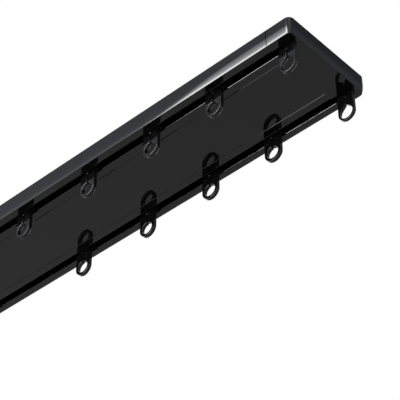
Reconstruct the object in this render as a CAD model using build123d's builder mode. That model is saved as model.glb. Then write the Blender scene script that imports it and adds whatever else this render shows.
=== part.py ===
from build123d import *
import os

os.makedirs("parts", exist_ok=True)

# A two-lane ceiling curtain track: a hollow extruded profile with an end cap pushed
# into each end, a fixed end eye in each lane of each cap, and a row of gliders in each lane.
# The origin is the middle of the ceiling face, X runs along the track and Z points up.

# Overall sizes, in millimetres.
track_length = 900.0
track_width = 80.0
track_height = 14.4
cap_length = 21.0

# Side faces: upright down to a crease, then leaning in to the underside with a slight bulge.
crease_drop = 7.2
side_lean = 0.8
side_bulge = 0.09
top_edge_radius = 0.4
bottom_edge_radius = 0.6

# Walls of the extrusion.
roof_thickness = 1.6
lip_thickness = 1.6
web_thickness = 1.5
cavity_radius = 0.8

# Lanes and their slots. The margin is from the side face to the slot.
slot_margin = 6.5
slot_width = 6.0
lane_width = 14.0
lip_outer_radius = 0.7
lip_inner_radius = 0.4

# Fine grooves along the underside, beside the slots, and the webs of the middle chambers.
groove_margin = 6.4
groove_side = 0.5
web_spacing = 15.0

# Screw holes through the lane roofs, for screws whose heads pass the slots. The setback is
# from each end face to the nearest holes, and the rest of the length is split in three.
screw_hole_radius = 1.8
screw_setback = 45.0

# End caps.
cap_corner_radius = 4.3
seam_chamfer = 0.2
cap_end_wall = 1.6
cap_slot_width = 5.4
cap_slot_end_radius = 1.0
pocket_corner_radius = 2.5
tongue_length = 12.0
tongue_thickness = 1.5
tongue_clearance = 0.15
tongue_chamfer = 0.3
snap_bump_length = 1.0
snap_bump_height = 0.5

# End eyes, fixed in the caps. The drop is from the underside to the middle of the eye.
end_eye_setback = 10.5
end_eye_thickness = 2.5
end_eye_ring_radius = 6.7
end_eye_hole_radius = 5.2
end_eye_drop = 17.3
end_eye_neck_width = 13.0
end_eye_slit_width = 0.9
end_eye_slit_top = 4.0
end_eye_rim_chamfer = 0.4
seat_clearance = 0.15

# Gliders.
glider_thickness = 3.1
glider_ring_radius = 7.1
glider_hole_radius = 5.0
glider_drop = 14.2
glider_slit_width = 0.9
glider_slit_top = 1.6
glider_relief_radius = 0.8
glider_rim_chamfer = 0.4
glider_play = 0.1

# Feet of the gliders and the end eyes, which lie on the lips of the lanes.
foot_width = 11.6
foot_height = 2.6
foot_corner_radius = 1.5
foot_chamfer = 0.5

# Gliders of one lane, from the right-hand end: distances from the right-hand end face to the
# first five, after which the rest are spaced evenly up to the left-hand end eye.
glider_count = 12
first_glider_places = (74.7, 133.3, 195.5, 263.1, 372.0)

# Places worked out from the sizes.
half_length = track_length / 2
half_width = track_width / 2
seam_x = half_length - cap_length
profile_length = 2 * seam_x
outer_screw_spacing = track_length - 2 * screw_setback
inner_screw_spacing = outer_screw_spacing / 3
lane_offset = half_width - slot_margin - slot_width / 2
lane_spacing = 2 * lane_offset
groove_spacing = 2 * (lane_offset - slot_width / 2 - groove_margin)
underside = -track_height
lip_top = underside + lip_thickness
lane_height = track_height - roof_thickness - lip_thickness
lane_middle = lip_top + lane_height / 2
chamber_half_width = lane_offset - lane_width / 2 - web_thickness
outer_chamber_width = chamber_half_width - web_spacing / 2 - web_thickness / 2
outer_chamber_middle = chamber_half_width - outer_chamber_width / 2
end_eye_x = half_length - end_eye_setback
lanes = {"front": -lane_offset, "back": lane_offset}


def glider_places():
    """Give the X of each glider of a lane, from the right-hand end to the left."""
    places = [half_length - distance for distance in first_glider_places]
    spread = glider_count - len(places)
    pitch = (places[-1] + end_eye_x) / (spread + 1)
    start = places[-1]
    places += [start - pitch * (step + 1) for step in range(spread)]
    return places


def edge_outline(reach, inner=0.0):
    """Draw a face from inner out to a side that is upright above its crease and leans in below."""
    crease = (reach, -crease_drop)
    bulge = (reach - side_lean / 2 + side_bulge, (underside - crease_drop) / 2)
    bottom = (reach - side_lean, underside)
    with BuildSketch() as outline:
        with BuildLine():
            Polyline(bottom, (inner, underside), (inner, 0), (reach, 0), crease)
            ThreePointArc(crease, bulge, bottom)
        make_face()
        fillet(outline.vertices().sort_by_distance((reach, 0))[0], top_edge_radius)
        fillet(outline.vertices().sort_by_distance(bottom)[0], bottom_edge_radius)
    return outline.sketch


def full_section():
    """Draw the whole outer section of the track, both sides alike."""
    with BuildSketch() as outline:
        add(edge_outline(half_width))
        mirror(about=Plane.YZ)
    return outline.sketch


# Hollow profile
with BuildPart() as track_profile:
    with BuildSketch(Plane.YZ) as section:
        add(full_section())
        with Locations((-lane_offset, lane_middle), (lane_offset, lane_middle)):
            RectangleRounded(lane_width, lane_height, cavity_radius, mode=Mode.SUBTRACT)
        with Locations((-outer_chamber_middle, lane_middle), (outer_chamber_middle, lane_middle)):
            RectangleRounded(outer_chamber_width, lane_height, cavity_radius, mode=Mode.SUBTRACT)
        with Locations((0, lane_middle)):
            RectangleRounded(web_spacing - web_thickness, lane_height, cavity_radius, mode=Mode.SUBTRACT)
        with Locations((-lane_offset, underside), (lane_offset, underside)):
            Rectangle(slot_width, 2 * lip_thickness, mode=Mode.SUBTRACT)
        with Locations((-groove_spacing / 2, underside), (groove_spacing / 2, underside)):
            Rectangle(groove_side, groove_side, rotation=45, mode=Mode.SUBTRACT)
        lip_corners = section.vertices().filter_by(
            lambda corner: abs(abs(abs(corner.X) - lane_offset) - slot_width / 2) < 0.01
        )
        fillet(lip_corners.group_by(Axis.Y)[0], lip_outer_radius)
        fillet(lip_corners.group_by(Axis.Y)[-1], lip_inner_radius)
    extrude(amount=profile_length / 2, both=True)
    for screw_spacing in (inner_screw_spacing, outer_screw_spacing):
        with GridLocations(screw_spacing, lane_spacing, 2, 2):
            Hole(radius=screw_hole_radius, depth=1.5 * roof_thickness)
track_profile.part.label = "track_profile"


# Right-hand end cap: the track's section carried round two rounded corners
with BuildPart() as end_cap_right:
    with BuildSketch(Plane.YZ.offset(seam_x)):
        add(full_section())
    extrude(amount=cap_length - cap_corner_radius)
    with BuildSketch(Plane.XZ):
        add(edge_outline(half_length, inner=seam_x))
    extrude(amount=half_width - cap_corner_radius, both=True)
    for corner_y in (-half_width + cap_corner_radius, half_width - cap_corner_radius):
        corner_middle = (half_length - cap_corner_radius, corner_y, 0)
        with BuildSketch(Plane(origin=corner_middle, x_dir=(1, 0, 0), z_dir=(0, -1, 0))):
            add(edge_outline(cap_corner_radius))
        revolve(axis=Axis(corner_middle, (0, 0, 1)))
    seam_edges = end_cap_right.faces().sort_by(Axis.X)[0].edges()
    chamfer(seam_edges, seam_chamfer)

    # Pockets behind the end wall, open towards the profile
    pocket_end = half_length - cap_end_wall
    pocket_start = seam_x - pocket_corner_radius
    pocket_length = pocket_end - pocket_start
    with BuildSketch(Plane.XY.offset(-roof_thickness)):
        with Locations((pocket_end - pocket_length / 2, 0)):
            RectangleRounded(pocket_length, 2 * chamber_half_width, pocket_corner_radius)
            with GridLocations(0, lane_spacing, 1, 2):
                RectangleRounded(pocket_length, lane_width, pocket_corner_radius)
    extrude(amount=-lane_height, mode=Mode.SUBTRACT)

    # Slots for the end eyes
    slot_end = end_eye_x + end_eye_neck_width / 2 + seat_clearance
    slot_length = slot_end - pocket_start
    with BuildSketch(Plane.XY.offset(underside)):
        with Locations((slot_end - slot_length / 2, 0)):
            with GridLocations(0, lane_spacing, 1, 2):
                RectangleRounded(slot_length, cap_slot_width, cap_slot_end_radius)
    extrude(amount=1.5 * lip_thickness, mode=Mode.SUBTRACT)

    # Ribs that run on as tongues into the outer chambers of the profile
    tongue_shift = outer_chamber_width / 2 - tongue_clearance - tongue_thickness / 2
    tongue_places = [
        side * (outer_chamber_middle + shift * tongue_shift) for side in (-1, 1) for shift in (-1, 1)
    ]
    with BuildSketch(Plane.XY.offset(-roof_thickness)):
        with Locations(*[((seam_x + pocket_end) / 2, place) for place in tongue_places]):
            Rectangle(pocket_end - seam_x, tongue_thickness)
    extrude(amount=-lane_height)
    with BuildSketch(Plane.YZ.offset(seam_x - tongue_length)):
        with Locations(*[(place, lane_middle) for place in tongue_places]):
            RectangleRounded(
                tongue_thickness,
                lane_height - 2 * tongue_clearance,
                cavity_radius - tongue_clearance,
            )
    extrude(amount=tongue_length + cap_end_wall)
    tongue_tips = end_cap_right.faces().filter_by(Axis.X).group_by(Axis.X)[0]
    chamfer(tongue_tips.edges(), tongue_chamfer)

    # Bumps on the lips that keep each end eye against its stop
    bump_x = end_eye_x - end_eye_neck_width / 2 - seat_clearance - snap_bump_length / 2
    with BuildSketch(Plane.XY.offset(lip_top)):
        with Locations((bump_x, 0)):
            with GridLocations(0, lane_spacing, 1, 2):
                Rectangle(snap_bump_length, lane_width)
        with Locations((bump_x, 0)):
            with GridLocations(0, lane_spacing, 1, 2):
                Rectangle(snap_bump_length, cap_slot_width, mode=Mode.SUBTRACT)
    extrude(amount=snap_bump_height)
end_cap_right.part.label = "end_cap_right"

with BuildPart() as end_cap_left:
    mirror(end_cap_right.part, about=Plane.YZ)
end_cap_left.part.label = "end_cap_left"


# End eye: a tapered plate with a teardrop hole, a slit above it, and a foot in the cap
with BuildPart() as end_eye_form:
    ring_middle = (0, underside - end_eye_drop)
    foot_top = lip_top + foot_height
    with BuildSketch(Plane.XZ):
        with Locations(ring_middle):
            Circle(end_eye_ring_radius)
        with BuildLine():
            Polyline(
                (-end_eye_ring_radius, underside - end_eye_drop),
                (-end_eye_neck_width / 2, underside),
                (-end_eye_neck_width / 2, foot_top),
                (end_eye_neck_width / 2, foot_top),
                (end_eye_neck_width / 2, underside),
                (end_eye_ring_radius, underside - end_eye_drop),
                close=True,
            )
        make_face()
        with Locations(ring_middle):
            Circle(end_eye_hole_radius, mode=Mode.SUBTRACT)
            with Locations((0, end_eye_hole_radius / 2**0.5)):
                Rectangle(end_eye_hole_radius, end_eye_hole_radius, rotation=45, mode=Mode.SUBTRACT)
        with Locations((0, underside - end_eye_slit_top)):
            Rectangle(
                end_eye_slit_width,
                end_eye_drop - end_eye_slit_top - end_eye_hole_radius,
                align=(Align.CENTER, Align.MAX),
                mode=Mode.SUBTRACT,
            )
    extrude(amount=end_eye_thickness / 2, both=True)
    # The rims are eased, apart from the plate's top edges inside the foot
    plate_top = end_eye_form.faces().sort_by(Axis.Z)[-1]
    rims = end_eye_form.faces().filter_by(Axis.Y).edges() - plate_top.edges()
    chamfer(rims, end_eye_rim_chamfer)
    with BuildSketch(Plane.XY.offset(lip_top)):
        foot_start = -end_eye_neck_width / 2
        foot_end = end_eye_setback - cap_end_wall - seat_clearance
        with Locations(((foot_start + foot_end) / 2, 0)):
            RectangleRounded(foot_end - foot_start, foot_width, foot_corner_radius)
    extrude(amount=foot_height)

for side, turn in (("right", 0), ("left", 180)):
    for lane, lane_y in lanes.items():
        eye_x = end_eye_x if side == "right" else -end_eye_x
        with BuildPart() as end_eye:
            with Locations(Location((eye_x, lane_y, 0), (0, 0, turn))):
                add(end_eye_form.part)
        end_eye.part.label = f"end_eye_{side}_{lane}"
        export_step(end_eye.part, f"parts/{end_eye.part.label}.step")


# Glider: a flat plate with a round eye, a slit up to a relief hole, and a foot in the lane
with BuildPart() as glider_form:
    foot_bottom = lip_top + glider_play
    with BuildSketch(Plane.XZ):
        with Locations((0, underside - glider_drop)):
            Circle(glider_ring_radius)
            Rectangle(
                2 * glider_ring_radius,
                glider_drop + lip_thickness + glider_play + foot_height / 2,
                align=(Align.CENTER, Align.MIN),
            )
            Circle(glider_hole_radius, mode=Mode.SUBTRACT)
        with Locations((0, underside - glider_slit_top)):
            Circle(glider_relief_radius, mode=Mode.SUBTRACT)
            Rectangle(
                glider_slit_width,
                glider_drop - glider_slit_top - glider_hole_radius / 2,
                align=(Align.CENTER, Align.MAX),
                mode=Mode.SUBTRACT,
            )
    extrude(amount=glider_thickness / 2, both=True)
    # The rims are eased, apart from the plate's top edges inside the foot
    plate_top = glider_form.faces().sort_by(Axis.Z)[-1]
    rims = glider_form.faces().filter_by(Axis.Y).edges() - plate_top.edges()
    chamfer(rims, glider_rim_chamfer)
    with BuildSketch(Plane.XY.offset(foot_bottom)):
        RectangleRounded(2 * glider_ring_radius, foot_width, foot_corner_radius)
    extrude(amount=foot_height)
    chamfer(glider_form.faces().sort_by(Axis.Z)[-1].edges(), foot_chamfer)

for lane, lane_y in lanes.items():
    for number, glider_x in enumerate(glider_places(), start=1):
        with BuildPart() as glider:
            with Locations((glider_x, lane_y, 0)):
                add(glider_form.part)
        glider.part.label = f"glider_{lane}_{number:02d}"
        export_step(glider.part, f"parts/{glider.part.label}.step")

for piece in (track_profile.part, end_cap_right.part, end_cap_left.part):
    export_step(piece, f"parts/{piece.label}.step")
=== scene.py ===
import math

import bmesh
import bpy
from mathutils import Matrix, Vector


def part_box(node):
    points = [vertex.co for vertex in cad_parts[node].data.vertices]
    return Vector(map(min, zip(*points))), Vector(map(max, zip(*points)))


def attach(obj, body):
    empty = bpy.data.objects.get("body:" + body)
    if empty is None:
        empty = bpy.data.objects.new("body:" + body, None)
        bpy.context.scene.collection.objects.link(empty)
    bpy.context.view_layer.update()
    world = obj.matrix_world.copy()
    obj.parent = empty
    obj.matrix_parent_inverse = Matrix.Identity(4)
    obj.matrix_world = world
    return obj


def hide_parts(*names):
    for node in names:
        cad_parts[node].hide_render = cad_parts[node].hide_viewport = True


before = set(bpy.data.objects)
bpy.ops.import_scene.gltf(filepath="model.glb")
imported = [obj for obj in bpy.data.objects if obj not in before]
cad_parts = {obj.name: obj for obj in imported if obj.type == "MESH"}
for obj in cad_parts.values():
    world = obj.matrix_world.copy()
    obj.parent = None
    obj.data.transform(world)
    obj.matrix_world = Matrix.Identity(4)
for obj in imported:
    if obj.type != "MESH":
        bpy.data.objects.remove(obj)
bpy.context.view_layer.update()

MM = 0.001

# Sizes of the track in millimetres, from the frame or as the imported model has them
TRACK_HALF_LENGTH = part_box("end_cap_right")[1].x / MM
SEAM_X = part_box("track_profile")[1].x / MM
HALF_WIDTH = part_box("track_profile")[1].y / MM
HEIGHT = -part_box("track_profile")[0].z / MM
LANE_Y = (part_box("glider_back_01")[0].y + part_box("glider_back_01")[1].y) / 2 / MM
CREASE_DROP = 7.2
SIDE_LEAN = 0.8
SIDE_BULGE = 0.09
TOP_EDGE_RADIUS = 0.4
BOTTOM_EDGE_RADIUS = 0.6
ROOF = 1.6
LIP = 1.6
LANE_WIDTH = 14.0
SLOT_WIDTH = 6.0
LIP_INNER_RADIUS = 0.4
CAVITY_RADIUS = 0.8
GROOVE_Y = 21.1
GROOVE_HALF = 0.354
SCREW_HOLE_RADIUS = 1.8
SCREW_SETBACK = 45.0
CAP_CORNER_RADIUS = 4.3
CAP_END_WALL = 1.6
CAP_POCKET_RADIUS = 2.5
CAP_SLOT_WIDTH = 5.4
CAP_SLOT_END_RADIUS = 1.0
EYE_SETBACK = 10.5
EYE_THICKNESS = 2.5
EYE_RING_RADIUS = 6.7
EYE_HOLE_RADIUS = 5.2
EYE_DROP = 17.3
EYE_NECK_HALF = 6.5
EYE_SLIT_HALF = 0.45
EYE_SLIT_TOP = 4.0
SEAT_CLEARANCE = 0.15
GLIDER_THICKNESS = 3.1
GLIDER_RING_RADIUS = 7.1
GLIDER_HOLE_RADIUS = 5.0
GLIDER_DROP = 14.2
GLIDER_SLIT_HALF = 0.45
GLIDER_SLIT_TOP = 1.6
GLIDER_RELIEF_RADIUS = 0.8
GLIDER_PLAY = 0.1
FOOT_WIDTH = 11.6
FOOT_HEIGHT = 2.6
FOOT_CORNER_RADIUS = 1.5

# Fine forms in millimetres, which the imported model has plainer
LIP_OUTER_RADIUS = 0.9
SEAM_GAP = 0.55
SEAM_DEPTH = 0.8
SEAM_STEP = 0.01
SEAM_CLOSING_ABOVE = 0.4
SEAM_CLOSING_BELOW = 0.8
RIM_ROUNDING = 0.3

# Fineness of the meshes, and how far a cutter runs past what it cuts, in millimetres
CORNER_STEP_DEGREES = 9.0
BULGE_STEPS = 6
CAP_CORNER_STEPS = 14
SCREW_HOLE_STEPS = 40
RING_STEPS = 40
GLIDER_HOLE_STEPS = 60
EYE_HOLE_STEPS = 48
RELIEF_STEPS = 24
RIM_STEPS = 6
SHARP_ANGLE = math.radians(32)
FLAT_FACE_WEIGHT = 80
CUTTER_REACH = 5.0
CUTTER_MARGIN = 1.0

UNDERSIDE = -HEIGHT
LIP_TOP = UNDERSIDE + LIP
LANES = {"front": -LANE_Y, "back": LANE_Y}
TRACK_END = TRACK_HALF_LENGTH * MM


# Outlines

def rounded(corners):
    """Turn (x, y, radius) corners of a closed outline into points, with an arc at each radius."""
    points = []
    count = len(corners)
    for index, (x, y, radius) in enumerate(corners):
        here = Vector((x, y))
        if radius <= 0:
            points.append(here)
            continue
        to_last = (Vector(corners[index - 1][:2]) - here).normalized()
        to_next = (Vector(corners[(index + 1) % count][:2]) - here).normalized()
        half = to_last.angle(to_next) / 2
        middle = here + (to_last + to_next).normalized() * radius / math.sin(half)
        start = here + to_last * radius / math.tan(half) - middle
        sweep = start.angle_signed(here + to_next * radius / math.tan(half) - middle)
        steps = max(2, math.ceil(abs(math.degrees(sweep)) / CORNER_STEP_DEGREES))
        for step in range(steps + 1):
            turned = start.copy()
            turned.rotate(Matrix.Rotation(-sweep * step / steps, 2))
            points.append(middle + turned)
    return points


def arc(middle, radius, start, end, steps):
    """Points on an arc from start to end degrees, both included."""
    return [
        Vector((
            middle[0] + radius * math.cos(math.radians(start + (end - start) * step / steps)),
            middle[1] + radius * math.sin(math.radians(start + (end - start) * step / steps)),
        ))
        for step in range(steps + 1)
    ]


def side_points():
    """Points (y, z) from the crease of the +Y side to its bottom, with its slight bulge."""
    points = []
    for step in range(BULGE_STEPS + 1):
        share = step / BULGE_STEPS
        out = HALF_WIDTH - SIDE_LEAN * share + 4 * SIDE_BULGE * share * (1 - share)
        points.append((out, -CREASE_DROP - (HEIGHT - CREASE_DROP) * share))
    return points


def inset_loop(points, distance):
    """Move each point of a closed loop along its normal by distance, mitred at the corners."""
    moved = []
    count = len(points)
    for index, here in enumerate(points):
        before = (here - points[index - 1]).normalized()
        after = (points[(index + 1) % count] - here).normalized()
        normal = Vector((-before.y - after.y, before.x + after.x))
        if normal.length < 1e-6:
            normal = Vector((-after.y, after.x))
        normal.normalize()
        slope = max(0.5, normal.dot(Vector((-after.y, after.x))))
        moved.append(here + normal * distance / slope)
    return moved


# Meshes

def new_piece(name, mesh, material):
    """Link a mesh as a piece, smooth its curved faces and keep its flat ones flat."""
    piece = bpy.data.objects.new(name, mesh)
    bpy.context.scene.collection.objects.link(piece)
    mesh.polygons.foreach_set("use_smooth", [True] * len(mesh.polygons))
    mesh.set_sharp_from_angle(angle=SHARP_ANGLE)
    weighting = piece.modifiers.new("flat_faces", "WEIGHTED_NORMAL")
    weighting.keep_sharp = True
    weighting.weight = FLAT_FACE_WEIGHT
    mesh.materials.append(material)
    return piece


def mesh_from(build):
    """Make a mesh from a bmesh, in metres from millimetres, with its normals outwards."""
    bmesh.ops.recalc_face_normals(build, faces=build.faces)
    bmesh.ops.scale(build, vec=(MM, MM, MM), verts=build.verts)
    mesh = bpy.data.meshes.new("mesh")
    build.to_mesh(mesh)
    build.free()
    return mesh


def prism(build, points, place, *levels):
    """Extrude a closed outline through levels: place(point, level) gives the corner in space."""
    rings = [[build.verts.new(place(point, level)) for point in points] for level in levels]
    count = len(points)
    for lower, upper in zip(rings, rings[1:]):
        for index in range(count):
            after = (index + 1) % count
            build.faces.new((lower[index], lower[after], upper[after], upper[index]))
    build.faces.new(rings[0])
    build.faces.new(rings[-1])


def cut(piece, cutter_build):
    """Take a closed solid away from a piece."""
    cutter = bpy.data.objects.new("cutter", mesh_from(cutter_build))
    bpy.context.scene.collection.objects.link(cutter)
    difference = piece.modifiers.new("cut", "BOOLEAN")
    difference.operation = "DIFFERENCE"
    difference.solver = "EXACT"
    difference.object = cutter
    piece.modifiers["flat_faces"].show_viewport = False
    bpy.context.view_layer.update()
    graph = bpy.context.evaluated_depsgraph_get()
    result = bpy.data.meshes.new_from_object(piece.evaluated_get(graph))
    piece.modifiers["flat_faces"].show_viewport = True
    piece.modifiers.remove(difference)
    piece.data = result
    result.polygons.foreach_set("use_smooth", [True] * len(result.polygons))
    result.set_sharp_from_angle(angle=SHARP_ANGLE)
    bpy.data.objects.remove(cutter)


def along_x(point, level):
    return (level, point[0], point[1])


def along_z(point, level):
    return (point[0], point[1], level)


# Materials

PLASTIC_IOR = 1.5
GRAIN_DETAIL = 4.0
GRAIN_LOW, GRAIN_HIGH = 0.3, 0.7
TONE_SPREAD, GLOSS_SPREAD = 0.25, 0.2


def black_plastic(name, tone, roughness, specular, stretch, ripple):
    """Black plastic whose tone, gloss and fine surface ripple come from stretched noise."""
    material = bpy.data.materials.new(name)
    material.use_nodes = True
    nodes, links = material.node_tree.nodes, material.node_tree.links
    shader = nodes["Principled BSDF"]
    shader.inputs["IOR"].default_value = PLASTIC_IOR
    shader.inputs["Specular IOR Level"].default_value = specular
    place = nodes.new("ShaderNodeTexCoord")
    scale = nodes.new("ShaderNodeMapping")
    scale.inputs["Scale"].default_value = stretch
    links.new(place.outputs["Object"], scale.inputs["Vector"])
    grain = nodes.new("ShaderNodeTexNoise")
    grain.inputs["Scale"].default_value = 1.0
    grain.inputs["Detail"].default_value = GRAIN_DETAIL
    links.new(scale.outputs["Vector"], grain.inputs["Vector"])
    colour = nodes.new("ShaderNodeValToRGB")
    darker, lighter = colour.color_ramp.elements
    darker.position = GRAIN_LOW
    darker.color = (*[channel * (1 - TONE_SPREAD) for channel in tone], 1)
    lighter.position = GRAIN_HIGH
    lighter.color = (*[channel * (1 + TONE_SPREAD) for channel in tone], 1)
    links.new(grain.outputs["Fac"], colour.inputs["Fac"])
    links.new(colour.outputs["Color"], shader.inputs["Base Color"])
    gloss = nodes.new("ShaderNodeMapRange")
    gloss.inputs["From Min"].default_value = GRAIN_LOW
    gloss.inputs["From Max"].default_value = GRAIN_HIGH
    gloss.inputs["To Min"].default_value = roughness * (1 - GLOSS_SPREAD)
    gloss.inputs["To Max"].default_value = roughness * (1 + GLOSS_SPREAD)
    links.new(grain.outputs["Fac"], gloss.inputs["Value"])
    links.new(gloss.outputs["Result"], shader.inputs["Roughness"])
    bump = nodes.new("ShaderNodeBump")
    bump.inputs["Strength"].default_value = 1.0
    bump.inputs["Distance"].default_value = ripple
    links.new(grain.outputs["Fac"], bump.inputs["Height"])
    links.new(bump.outputs["Normal"], shader.inputs["Normal"])
    return material


TRACK_PLASTIC = black_plastic("track_plastic", (0.0012, 0.0012, 0.0013), roughness=0.05, specular=0.5,
                              stretch=(6, 250, 250), ripple=4e-7)
CAP_PLASTIC = black_plastic("cap_plastic", (0.0012, 0.0012, 0.0014), roughness=0.07, specular=0.5,
                            stretch=(160, 160, 160), ripple=5e-7)
GLIDER_PLASTIC = black_plastic("glider_plastic", (0.006, 0.006, 0.0063), roughness=0.1, specular=0.35,
                               stretch=(250, 250, 250), ripple=1e-6)


# Hollow profile

def half_profile():
    """The outline of the +Y half of the profile, round the lane, from the top to the bottom."""
    side = [(out, height, 0) for out, height in side_points()[:-1]]
    inner, outer = LANE_Y - SLOT_WIDTH / 2, LANE_Y + SLOT_WIDTH / 2
    low, high = LANE_Y - LANE_WIDTH / 2, LANE_Y + LANE_WIDTH / 2
    return [
        (HALF_WIDTH, 0, TOP_EDGE_RADIUS),
        *side,
        (HALF_WIDTH - SIDE_LEAN, UNDERSIDE, BOTTOM_EDGE_RADIUS),
        (outer, UNDERSIDE, LIP_OUTER_RADIUS),
        (outer, LIP_TOP, LIP_INNER_RADIUS),
        (high, LIP_TOP, CAVITY_RADIUS),
        (high, -ROOF, CAVITY_RADIUS),
        (low, -ROOF, CAVITY_RADIUS),
        (low, LIP_TOP, CAVITY_RADIUS),
        (inner, LIP_TOP, LIP_INNER_RADIUS),
        (inner, UNDERSIDE, LIP_OUTER_RADIUS),
        (GROOVE_Y + GROOVE_HALF, UNDERSIDE, 0),
        (GROOVE_Y, UNDERSIDE + GROOVE_HALF, 0),
        (GROOVE_Y - GROOVE_HALF, UNDERSIDE, 0),
    ]


def make_profile():
    half = half_profile()
    whole = half + [(-y, z, radius) for y, z, radius in reversed(half)]
    outer = TRACK_HALF_LENGTH - SCREW_SETBACK
    hole_places = (-outer, -outer / 3, outer / 3, outer)
    # Edges across the profile beside each hole keep the holes' cuts short
    beside = [hole_x + side * 2 * SCREW_HOLE_RADIUS for hole_x in hole_places for side in (-1, 1)]
    build = bmesh.new()
    prism(build, rounded(whole), along_x, -SEAM_X, *beside, SEAM_X)
    piece = new_piece("profile", mesh_from(build), TRACK_PLASTIC)
    holes = bmesh.new()
    for hole_x in hole_places:
        for lane_y in LANES.values():
            last = 360 - 360 / SCREW_HOLE_STEPS
            ring = arc((hole_x, lane_y), SCREW_HOLE_RADIUS, 0, last, SCREW_HOLE_STEPS - 1)
            prism(holes, ring, along_z, -1.5 * ROOF, 0.5 * ROOF)
    cut(piece, holes)
    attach(piece, "track")
    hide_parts("track_profile")


# End caps

def plan_path(start_x):
    """Points and outward normals round the right-hand cap, from near its seam and back again."""
    corner_x = TRACK_HALF_LENGTH - CAP_CORNER_RADIUS
    corner_y = HALF_WIDTH - CAP_CORNER_RADIUS
    path = [(Vector((start_x, -HALF_WIDTH)), Vector((0, -1)))]
    for side, start in ((-1, -90), (1, 0)):
        for point in arc((0, 0), 1, start, start + 90, CAP_CORNER_STEPS):
            path.append((Vector((corner_x, side * corner_y)) + point * CAP_CORNER_RADIUS, point))
    path.append((Vector((start_x, HALF_WIDTH)), Vector((0, 1))))
    return path


def seam_share(height):
    """How far the seam's gap is open at a height: fully on the sides, closed above and below."""
    return min(1.0, -height / SEAM_CLOSING_ABOVE, (height - UNDERSIDE) / SEAM_CLOSING_BELOW)


def cap_shell():
    """The closed outer form of the right-hand cap, with the gap of the seam along its edge."""
    half = [(0, 0, 0), (HALF_WIDTH, 0, TOP_EDGE_RADIUS)]
    half += [(out, height, 0) for out, height in side_points()[:-1]]
    half += [(HALF_WIDTH - SIDE_LEAN, UNDERSIDE, BOTTOM_EDGE_RADIUS), (0, UNDERSIDE, 0)]
    edge = [point for point in rounded(half) if point.x > 0]
    build = bmesh.new()
    rows = []
    for point in edge:
        inset = HALF_WIDTH - point.x
        path = plan_path(SEAM_X + SEAM_STEP + SEAM_GAP * seam_share(point.y))
        rows.append([build.verts.new((*(place - normal * inset), point.y)) for place, normal in path])
    for upper, lower in zip(rows, rows[1:]):
        for index in range(len(upper) - 1):
            build.faces.new((upper[index], upper[index + 1], lower[index + 1], lower[index]))
    outline = [row[0] for row in rows] + [row[-1] for row in reversed(rows)]
    seam = []
    for corner in outline:
        y, z = corner.co.yz
        depth = SEAM_STEP + SEAM_DEPTH * seam_share(z)
        seam.append(build.verts.new((SEAM_X, y - math.copysign(depth, y), z)))
    for index in range(len(seam)):
        after = (index + 1) % len(seam)
        build.faces.new((outline[index], outline[after], seam[after], seam[index]))
    build.faces.new(seam)
    build.faces.new(rows[0])
    build.faces.new(rows[-1])
    return mesh_from(build)


def make_cap(side, turn):
    piece = new_piece(f"cap_{side}", cap_shell(), CAP_PLASTIC)
    pocket_end = TRACK_HALF_LENGTH - CAP_END_WALL
    slot_end = TRACK_HALF_LENGTH - EYE_SETBACK + EYE_NECK_HALF + SEAT_CLEARANCE
    for lane_y in LANES.values():
        low, high = lane_y - LANE_WIDTH / 2, lane_y + LANE_WIDTH / 2
        pocket = rounded([
            (SEAM_X - CUTTER_REACH, low, 0), (pocket_end, low, CAP_POCKET_RADIUS),
            (pocket_end, high, CAP_POCKET_RADIUS), (SEAM_X - CUTTER_REACH, high, 0),
        ])
        pockets = bmesh.new()
        prism(pockets, pocket, along_z, LIP_TOP, -ROOF)
        cut(piece, pockets)
        low, high = lane_y - CAP_SLOT_WIDTH / 2, lane_y + CAP_SLOT_WIDTH / 2
        slot = rounded([
            (SEAM_X - CUTTER_REACH, low, 0), (slot_end, low, CAP_SLOT_END_RADIUS),
            (slot_end, high, CAP_SLOT_END_RADIUS), (SEAM_X - CUTTER_REACH, high, 0),
        ])
        slots = bmesh.new()
        prism(slots, slot, along_z, UNDERSIDE - CUTTER_MARGIN, LIP_TOP + CUTTER_MARGIN / 2)
        cut(piece, slots)
    if turn:
        piece.data.transform(Matrix.Rotation(math.pi, 4, "Z"))
    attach(piece, "track")
    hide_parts(f"end_cap_{side}")


# Gliders and end eyes: flat plates with rounded rims

def plate(build, outer, inner, thickness):
    """A plate in the X-Z plane with one hole and rounded rims, from its two outlines."""
    levels = []
    for step in range(RIM_STEPS + 1):
        angle = math.pi / 2 * step / RIM_STEPS
        inset = RIM_ROUNDING * (1 - math.cos(angle))
        levels.append((inset, thickness / 2 - RIM_ROUNDING * (1 - math.sin(angle))))
    profile = [(inset, -y) for inset, y in reversed(levels)] + [(inset, y) for inset, y in levels]
    rims = []
    for outline in (outer, inner):
        rings = []
        for inset, y in profile:
            rings.append([build.verts.new((point.x, y, point.y)) for point in inset_loop(outline, inset)])
        for lower, upper in zip(rings, rings[1:]):
            for index in range(len(lower)):
                after = (index + 1) % len(lower)
                build.faces.new((lower[index], lower[after], upper[after], upper[index]))
        rims.append(rings)
    for face in (0, -1):
        edges = []
        for rings in rims:
            ring = rings[face]
            for index in range(len(ring)):
                edges.append(build.edges.get((ring[index], ring[(index + 1) % len(ring)])))
        bmesh.ops.triangle_fill(build, edges=edges, use_beauty=True, use_dissolve=False)


def foot(build, low_x, high_x, bottom):
    """A foot that lies on the lips: a flat block with rounded corners."""
    half = FOOT_WIDTH / 2
    corners = [(low_x, -half), (high_x, -half), (high_x, half), (low_x, half)]
    outline = rounded([(x, y, FOOT_CORNER_RADIUS) for x, y in corners])
    prism(build, outline, along_z, bottom, bottom + FOOT_HEIGHT)


def slit_angle(slit_half, radius):
    """Half the angle in degrees that a slit takes out of a round hole."""
    return math.degrees(math.asin(slit_half / radius))


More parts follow.
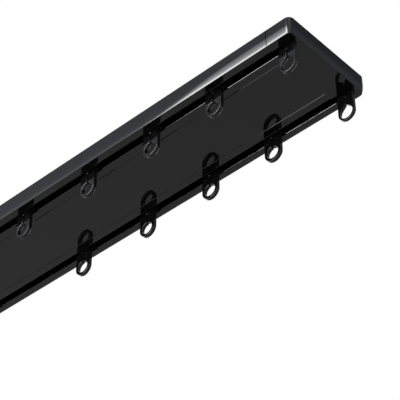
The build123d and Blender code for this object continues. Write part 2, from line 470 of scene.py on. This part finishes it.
def glider_mesh():
    ring_z = UNDERSIDE - GLIDER_DROP
    top = LIP_TOP + GLIDER_PLAY + FOOT_HEIGHT / 2
    outer = [Vector((GLIDER_RING_RADIUS, top)), Vector((-GLIDER_RING_RADIUS, top))]
    outer += arc((0, ring_z), GLIDER_RING_RADIUS, 180, 360, RING_STEPS)
    gap = slit_angle(GLIDER_SLIT_HALF, GLIDER_HOLE_RADIUS)
    inner = arc((0, ring_z), GLIDER_HOLE_RADIUS, 90 - gap, -270 + gap, GLIDER_HOLE_STEPS)
    gap = slit_angle(GLIDER_SLIT_HALF, GLIDER_RELIEF_RADIUS)
    relief = (0, UNDERSIDE - GLIDER_SLIT_TOP)
    inner += arc(relief, GLIDER_RELIEF_RADIUS, -90 - gap, -450 + gap, RELIEF_STEPS)
    build = bmesh.new()
    plate(build, outer, inner, GLIDER_THICKNESS)
    foot(build, -GLIDER_RING_RADIUS, GLIDER_RING_RADIUS, LIP_TOP + GLIDER_PLAY)
    return mesh_from(build)


def end_eye_mesh():
    ring_z = UNDERSIDE - EYE_DROP
    top = LIP_TOP + FOOT_HEIGHT / 2
    outer = [Vector((EYE_NECK_HALF, top)), Vector((-EYE_NECK_HALF, top)), Vector((-EYE_NECK_HALF, UNDERSIDE))]
    outer += arc((0, ring_z), EYE_RING_RADIUS, 180, 360, RING_STEPS)
    outer += [Vector((EYE_NECK_HALF, UNDERSIDE))]
    apex = ring_z + EYE_HOLE_RADIUS * math.sqrt(2)
    slit_foot = apex - EYE_SLIT_HALF
    slit_top = UNDERSIDE - EYE_SLIT_TOP
    inner = arc((0, ring_z), EYE_HOLE_RADIUS, 45, -225, EYE_HOLE_STEPS)
    inner += [Vector((-EYE_SLIT_HALF, slit_foot)), Vector((-EYE_SLIT_HALF, slit_top))]
    inner += [Vector((EYE_SLIT_HALF, slit_top)), Vector((EYE_SLIT_HALF, slit_foot))]
    build = bmesh.new()
    plate(build, outer, inner, EYE_THICKNESS)
    foot(build, -EYE_NECK_HALF, EYE_SETBACK - CAP_END_WALL - SEAT_CLEARANCE, LIP_TOP)
    return mesh_from(build)


def place_piece(name, mesh, node, body, turn=False):
    """Stand a copy of a mesh where its CAD node is."""
    piece = new_piece(name, mesh.copy(), GLIDER_PLASTIC)
    low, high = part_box(node)
    middle_x = (low.x + high.x) / 2
    if node.startswith("end_eye"):
        middle_x = (TRACK_END - EYE_SETBACK * MM) * (-1 if turn else 1)
    piece.data.transform(Matrix.Rotation(math.pi if turn else 0, 4, "Z"))
    piece.data.transform(Matrix.Translation((middle_x, (low.y + high.y) / 2, 0)))
    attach(piece, body)
    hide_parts(node)


make_profile()
make_cap("right", False)
make_cap("left", True)
glider = glider_mesh()
end_eye = end_eye_mesh()
for lane in LANES:
    for side in ("right", "left"):
        node = f"end_eye_{side}_{lane}"
        place_piece(f"eye_{side}_{lane}", end_eye, node, "track", turn=side == "left")
for node in sorted(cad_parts):
    if node.startswith("glider_"):
        place_piece(node.replace("glider", "runner"), glider, node, node)
bpy.data.meshes.remove(glider)
bpy.data.meshes.remove(end_eye)


# Camera, as the photograph was taken: from below, beyond the right-hand end

# In degrees, in millimetres from the track's near lower corner, and in the units that the names say
CAMERA_YAW, CAMERA_PITCH, CAMERA_ROLL = 47.59, 40.52, -0.27
CAMERA_PAST_END, CAMERA_PAST_SIDE, CAMERA_BELOW = 402.504, 527.664, 708.997
SENSOR_WIDTH_MM = 36
PHOTO_WIDTH_PIXELS = 400
FOCAL_LENGTH_PIXELS = 1494


def make_camera():
    yaw, pitch, roll = [math.radians(angle) for angle in (CAMERA_YAW, CAMERA_PITCH, CAMERA_ROLL)]
    x, y, z = TRACK_HALF_LENGTH + CAMERA_PAST_END, -HALF_WIDTH - CAMERA_PAST_SIDE, UNDERSIDE - CAMERA_BELOW
    level_ahead = Vector((-math.cos(yaw), math.sin(yaw), 0))
    level_right = Vector((math.sin(yaw), math.cos(yaw), 0))
    up = Vector((0, 0, 1))
    ahead = math.cos(pitch) * level_ahead + math.sin(pitch) * up
    tilted_up = -math.sin(pitch) * level_ahead + math.cos(pitch) * up
    right = math.cos(roll) * level_right + math.sin(roll) * tilted_up
    upright = -math.sin(roll) * level_right + math.cos(roll) * tilted_up
    data = bpy.data.cameras.new("camera")
    data.sensor_width = SENSOR_WIDTH_MM
    data.lens = SENSOR_WIDTH_MM * FOCAL_LENGTH_PIXELS / PHOTO_WIDTH_PIXELS
    data.clip_start = 0.01
    data.clip_end = 100
    camera = bpy.data.objects.new("camera", data)
    bpy.context.scene.collection.objects.link(camera)
    turn = Matrix((right, upright, -ahead)).transposed()
    camera.matrix_world = Matrix.Translation(Vector((x, y, z)) * MM) @ turn.to_4x4()
    bpy.context.scene.camera = camera


# Surroundings, in metres. Cards stand in front of the track, beyond its right-hand end and behind it

AMBIENT_STRENGTH, BACKGROUND_STRENGTH = 1.0, 1.0
FLOOR_Z, FLOOR_REACH = -2.4, 40
FLOOR_GREY, FLOOR_ROUGHNESS, FLOOR_SPECULAR = 0.42, 0.9, 0.1

WHITE, WALL_TINT, END_TINT = (1, 1, 1), (0.95, 0.98, 1.12), (0.93, 0.97, 1.15)
WALL_GLOW, BOX_GLOW, BACK_GLOW = 1.95, 14.5, 10.0
WALL_Y, WALL_LOW, WALL_HIGH = -2.04, -2.2, 4.2
END_Y, END_WIDTH, END_LOW, END_HIGH = -0.5, 4.5, 0.0, 4.5
BACK_Y, BACK_LOW, BACK_SIZE = 2.04, -0.9, 2.2
# Measured along the track from its right-hand end
WALL_LEFT, WALL_RIGHT, END_X, BACK_LEFT = -4.0, 1.5, 1.5, -0.85

# Stops of (place, strength): up a card, and for the box's left and right edges along the track from its end
WALL_STOPS = [(WALL_LOW, 0.2), (-1.4, 0.25), (-1.0, 0.85), (0.6, 0.9), (1.2, 1), (1.38, 0.9), (1.45, 0.62),
              (1.65, 0.34), (2.0, 0.285), (2.75, 0.235), (WALL_HIGH, 0.21)]
BOX_STOPS = [(-1.95, 0), (-1.75, 0.2), (-1.6, 0.09), (-1.45, 0.09), (-1.1, 1), (1.44, 1), (1.53, 0.4),
             (1.65, 0.22), (1.78, 0.16), (1.9, 0.1), (2.1, 0.045), (2.35, 0)]
EDGE_STOPS = [(-1.58, 0), (-1.54, 0.35), (-1.48, 1), (0.1, 1), (0.3, 0)]
END_STOPS = [(END_LOW, 0.5), (1.35, 0.36), (2.0, 0.18), (2.7, 0.12), (END_HIGH, 0.12)]
# Stops of (place up the card, how far the box's edges shift to the right as a share of the card's width)
BEND_STOPS = [(-1.8, 0.012), (-1.7, 0.015), (-1.55, 0.03), (-0.9, 0.045), (-0.3, 0.045), (0.6, 0.02),
              (1.45, 0)]
# Stops of (share of the card, strength)
SOFT_STOPS = [(0, 0), (0.12, 1), (0.88, 1), (1, 0)]
FADE_STOPS = [(0, 1), (0.15, 0), (0.85, 0), (1, 1)]


def shares(stops, low, high):
    """Turn stops of (place, strength) into stops of (share of the way from low to high, strength)."""
    return [((place - low) / (high - low), strength) for place, strength in stops]


def feed(links, value, socket):
    """Set a socket to a number, or link another socket to it."""
    if isinstance(value, (int, float)):
        socket.default_value = value
    else:
        links.new(value, socket)


def combine(nodes, links, operation, first, second):
    node = nodes.new("ShaderNodeMath")
    node.operation = operation
    feed(links, first, node.inputs[0])
    feed(links, second, node.inputs[1])
    return node.outputs[0]


def ramp(nodes, links, value, stops):
    """Turn a value from 0 to 1 into a grey by stops of (place, grey)."""
    node = nodes.new("ShaderNodeValToRGB")
    elements = node.color_ramp.elements
    while len(elements) < len(stops):
        elements.new(0.5)
    for element, (place, grey) in zip(elements, stops):
        element.position = place
        element.color = (grey, grey, grey, 1)
    links.new(value, node.inputs["Fac"])
    return node.outputs["Color"]


def emission(nodes, links, tint, strength):
    node = nodes.new("ShaderNodeEmission")
    node.inputs["Color"].default_value = (*tint, 1)
    feed(links, strength, node.inputs["Strength"])
    return node.outputs[0]


def make_world():
    """An even light, and plain white for the camera and for what mirrors."""
    world = bpy.data.worlds.new("world")
    bpy.context.scene.world = world
    world.use_nodes = True
    nodes, links = world.node_tree.nodes, world.node_tree.links
    nodes.clear()
    output = nodes.new("ShaderNodeOutputWorld")
    mix = nodes.new("ShaderNodeMixShader")
    for socket, strength in ((1, AMBIENT_STRENGTH), (2, BACKGROUND_STRENGTH)):
        background = nodes.new("ShaderNodeBackground")
        background.inputs["Color"].default_value = (*WHITE, 1)
        background.inputs["Strength"].default_value = strength
        links.new(background.outputs[0], mix.inputs[socket])
    path = nodes.new("ShaderNodeLightPath")
    seen = path.outputs["Is Camera Ray"]
    for ray in ("Is Glossy Ray", "Is Transmission Ray"):
        seen = combine(nodes, links, "MAXIMUM", seen, path.outputs[ray])
    links.new(seen, mix.inputs["Fac"])
    links.new(mix.outputs[0], output.inputs["Surface"])


def new_stage(name, build):
    """Link a mesh as part of the surroundings, with a material of its own."""
    mesh = bpy.data.meshes.new(name)
    build.to_mesh(mesh)
    build.free()
    thing = bpy.data.objects.new(name, mesh)
    bpy.context.scene.collection.objects.link(thing)
    material = bpy.data.materials.new(name)
    material.use_nodes = True
    mesh.materials.append(material)
    return thing


def make_floor():
    """A pale floor a room's height below the track, open from beneath."""
    build = bmesh.new()
    corners = [(-1, -1), (1, -1), (1, 1), (-1, 1)]
    build.faces.new([build.verts.new((x * FLOOR_REACH, y * FLOOR_REACH, FLOOR_Z)) for x, y in corners])
    tree = new_stage("floor", build).active_material.node_tree
    nodes, links = tree.nodes, tree.links
    shader = nodes["Principled BSDF"]
    shader.inputs["Base Color"].default_value = (FLOOR_GREY, FLOOR_GREY, FLOOR_GREY, 1)
    shader.inputs["Roughness"].default_value = FLOOR_ROUGHNESS
    shader.inputs["Specular IOR Level"].default_value = FLOOR_SPECULAR
    side = nodes.new("ShaderNodeNewGeometry")
    clear = nodes.new("ShaderNodeBsdfTransparent")
    mix = nodes.new("ShaderNodeMixShader")
    links.new(side.outputs["Backfacing"], mix.inputs["Fac"])
    links.new(shader.outputs[0], mix.inputs[1])
    links.new(clear.outputs[0], mix.inputs[2])
    links.new(mix.outputs[0], nodes["Material Output"].inputs["Surface"])


def make_card(name, corner, along, up, glow):
    """A glowing card that only reflections show: the camera doesn't see it, and it lights nothing else."""
    build = bmesh.new()
    corner, along, up = Vector(corner), Vector(along), Vector(up)
    corners = [corner, corner + along, corner + along + up, corner + up]
    face = build.faces.new([build.verts.new(place) for place in corners])
    layer = build.loops.layers.uv.new("card")
    for loop, place in zip(face.loops, ((0, 0), (1, 0), (1, 1), (0, 1))):
        loop[layer].uv = place
    card = new_stage(name, build)
    card.visible_camera = False
    card.visible_diffuse = False
    tree = card.active_material.node_tree
    nodes, links = tree.nodes, tree.links
    nodes.clear()
    output = nodes.new("ShaderNodeOutputMaterial")
    place = nodes.new("ShaderNodeTexCoord")
    split = nodes.new("ShaderNodeSeparateXYZ")
    links.new(place.outputs["UV"], split.inputs[0])
    links.new(glow(nodes, links, split.outputs["X"], split.outputs["Y"]), output.inputs["Surface"])


def side_glow(nodes, links, across, height):
    """A soft box, with soft and bent edges, on a dim wall that fades to the world's white at its ends."""
    wall = ramp(nodes, links, height, shares(WALL_STOPS, WALL_LOW, WALL_HIGH))
    box = ramp(nodes, links, height, shares(BOX_STOPS, WALL_LOW, WALL_HIGH))
    bend = ramp(nodes, links, height, shares(BEND_STOPS, WALL_LOW, WALL_HIGH))
    bent = combine(nodes, links, "SUBTRACT", across, bend)
    edge = ramp(nodes, links, bent, shares(EDGE_STOPS, WALL_LEFT, WALL_RIGHT))
    dim = combine(nodes, links, "MULTIPLY", wall, WALL_GLOW)
    bright = combine(nodes, links, "MULTIPLY", combine(nodes, links, "MULTIPLY", box, edge), BOX_GLOW)
    both = nodes.new("ShaderNodeAddShader")
    links.new(emission(nodes, links, WALL_TINT, dim), both.inputs[0])
    links.new(emission(nodes, links, WHITE, bright), both.inputs[1])
    faded = nodes.new("ShaderNodeMixShader")
    links.new(ramp(nodes, links, across, FADE_STOPS), faded.inputs["Fac"])
    links.new(both.outputs[0], faded.inputs[1])
    links.new(emission(nodes, links, WHITE, BACKGROUND_STRENGTH), faded.inputs[2])
    return faded.outputs[0]


def end_glow(nodes, links, across, height):
    """A dim glow that is stronger below, for the end of the track."""
    return emission(nodes, links, END_TINT, ramp(nodes, links, height, shares(END_STOPS, END_LOW, END_HIGH)))


def back_glow(nodes, links, across, height):
    """A box with soft edges, which lights the rims that face the back."""
    sides = ramp(nodes, links, across, SOFT_STOPS)
    ends = ramp(nodes, links, height, SOFT_STOPS)
    box = combine(nodes, links, "MULTIPLY", sides, ends)
    return emission(nodes, links, WHITE, combine(nodes, links, "MULTIPLY", box, BACK_GLOW))


make_camera()
make_world()
make_floor()
make_card("side_card", (TRACK_END + WALL_LEFT, WALL_Y, WALL_LOW), (WALL_RIGHT - WALL_LEFT, 0, 0),
          (0, 0, WALL_HIGH - WALL_LOW), side_glow)
make_card("end_card", (TRACK_END + END_X, END_Y, END_LOW), (0, END_WIDTH, 0),
          (0, 0, END_HIGH - END_LOW), end_glow)
make_card("back_card", (TRACK_END + BACK_LEFT, BACK_Y, BACK_LOW), (BACK_SIZE, 0, 0),
          (0, 0, BACK_SIZE), back_glow)

bpy.context.scene.view_settings.view_transform = "Standard"
